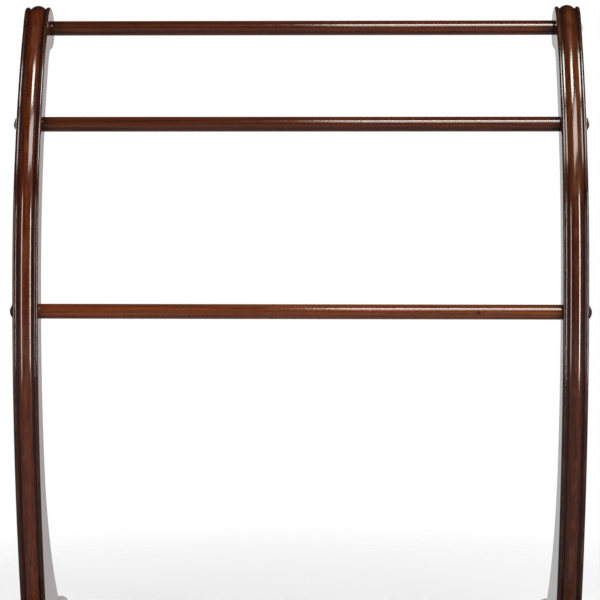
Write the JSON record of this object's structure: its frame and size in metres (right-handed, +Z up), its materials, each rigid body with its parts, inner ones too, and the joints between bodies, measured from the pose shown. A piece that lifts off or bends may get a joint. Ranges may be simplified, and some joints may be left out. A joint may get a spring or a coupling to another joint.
{
  "type": "quilt rack",
  "caption": "Free-standing wooden quilt rack: bow-fronted moulded posts with scrolled tops on arched feet, joined by round rails with turned buttons.",
  "frame": {"origin": "on the floor under the middle of the rack, midway between the feet's toes and between the side frames", "axes": "+X to the right seen from the front, +Y to the back, +Z up"},
  "size_m": [0.771, 0.3518, 0.9139],
  "materials": {
    "post_wood": "dark reddish-brown stain under satin lacquer, fine grain along the post",
    "foot_wood": "dark reddish-brown stain under satin lacquer, grain from toe to toe",
    "rail_wood": "reddish-brown stain under satin lacquer, streaky grain along the rail",
    "button_wood": "reddish-brown stain under satin lacquer, turned",
    "dowel_wood": "bare fluted beech",
    "bolt_steel": "bright zinc",
    "washer_steel": "bright zinc",
    "insert_brass": "turned brass",
    "glide_plastic": "moulded nylon, dull"
  },
  "bodies": {
    "root": {"left_post": "post_wood", "left_foot": "foot_wood", "right_post": "post_wood", "right_foot": "foot_wood", "top_rail": "rail_wood", "second_rail": "rail_wood", "third_rail": "rail_wood", "stretcher_rail": "rail_wood", "left_top_bolt": "bolt_steel", "left_second_bolt": "bolt_steel", "left_third_bolt": "bolt_steel", "left_stretcher_bolt": "bolt_steel", "right_top_bolt": "bolt_steel", "right_second_bolt": "bolt_steel", "right_third_bolt": "bolt_steel", "right_stretcher_bolt": "bolt_steel", "left_top_washer": "washer_steel", "left_second_washer": "washer_steel", "left_third_washer": "washer_steel", "left_stretcher_washer": "washer_steel", "right_top_washer": "washer_steel", "right_second_washer": "washer_steel", "right_third_washer": "washer_steel", "right_stretcher_washer": "washer_steel", "left_top_insert": "insert_brass", "left_second_insert": "insert_brass", "left_third_insert": "insert_brass", "left_stretcher_insert": "insert_brass", "right_top_insert": "insert_brass", "right_second_insert": "insert_brass", "right_third_insert": "insert_brass", "right_stretcher_insert": "insert_brass", "left_top_button": "button_wood", "left_second_button": "button_wood", "left_third_button": "button_wood", "left_stretcher_button": "button_wood", "right_top_button": "button_wood", "right_second_button": "button_wood", "right_third_button": "button_wood", "right_stretcher_button": "button_wood", "left_front_dowel": "dowel_wood", "left_rear_dowel": "dowel_wood", "right_front_dowel": "dowel_wood", "right_rear_dowel": "dowel_wood", "left_front_glide": "glide_plastic", "left_rear_glide": "glide_plastic", "right_front_glide": "glide_plastic", "right_rear_glide": "glide_plastic"}
  },
  "joints": []
}
